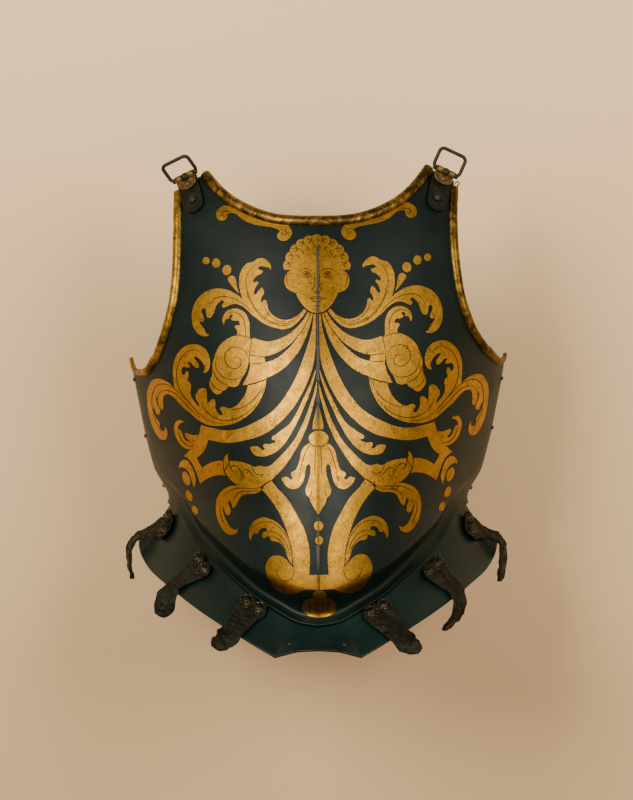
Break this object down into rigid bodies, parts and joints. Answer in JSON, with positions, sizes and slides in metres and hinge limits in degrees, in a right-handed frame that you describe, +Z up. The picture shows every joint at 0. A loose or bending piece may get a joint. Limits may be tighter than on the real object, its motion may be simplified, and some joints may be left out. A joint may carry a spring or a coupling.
{
  "type": "breastplate with waist lame",
  "caption": "Pointed steel breastplate with rolled neck and arm edges, a flared waist lame, curled leather tasset straps and hinged shoulder buckles, etched and gilt on a dark ground.",
  "frame": {"origin": "on the middle line between the two side edges, level with the corners of the waist", "axes": "+Z up, the front of the plate faces -Y, and the wearer's right side is at -X"},
  "size_m": [0.3651, 0.2004, 0.4856],
  "materials": {
    "plate_steel": "blackened steel with etched and gilt ornament",
    "lame_steel": "blackened steel",
    "leather": "old dry leather",
    "dark_brass": "darkened brass",
    "gilt_brass": "dull worn brass",
    "dark_iron": "rusted dark iron"
  },
  "bodies": {
    "cuirass_front": {"breastplate": "plate_steel", "waist_lame": "lame_steel", "left_outer_strap": "leather", "left_outer_rosette_1": "dark_brass", "left_outer_rosette_2": "dark_brass", "left_middle_strap": "leather", "left_middle_rosette_1": "dark_brass", "left_middle_rosette_2": "dark_brass", "left_inner_strap": "leather", "left_inner_rosette_1": "dark_brass", "left_inner_rosette_2": "dark_brass", "right_inner_strap": "leather", "right_inner_rosette_1": "dark_brass", "right_inner_rosette_2": "dark_brass", "right_middle_strap": "leather", "right_middle_rosette_1": "dark_brass", "right_middle_rosette_2": "dark_brass", "right_outer_strap": "leather", "right_outer_rosette_1": "dark_brass", "right_outer_rosette_2": "dark_brass", "left_shoulder_tab": "leather", "left_tab_rivet": "dark_iron", "left_buckle_plate": "gilt_brass", "left_buckle_rivet": "gilt_brass", "right_shoulder_tab": "leather", "right_tab_rivet": "dark_iron", "right_buckle_plate": "gilt_brass", "right_buckle_rivet": "gilt_brass", "left_side_rivet_1": "dark_iron", "left_side_rivet_2": "dark_iron", "left_side_rivet_3": "dark_iron", "right_side_rivet_1": "dark_iron", "right_side_rivet_2": "dark_iron", "right_side_rivet_3": "dark_iron", "left_lame_rivet": "dark_iron", "right_lame_rivet": "dark_iron"},
    "left_buckle": {"left_buckle_frame": "dark_iron", "left_tongue_root": "dark_iron"},
    "right_buckle": {"right_buckle_frame": "dark_iron", "right_tongue_root": "dark_iron"}
  },
  "joints": [
    {"name": "left_buckle_hinge", "type": "hinge", "parent": "cuirass_front", "child": "left_buckle", "pos_m": [-0.12706, -0.05144, 0.31306], "axis": [0.8465, -0.3362, 0.4129], "range_deg": [-130, 110]},
    {"name": "right_buckle_hinge", "type": "hinge", "parent": "cuirass_front", "child": "right_buckle", "pos_m": [0.12187, -0.05221, 0.3177], "axis": [0.8605, 0.3138, -0.4013], "range_deg": [-80, 140]}
  ]
}
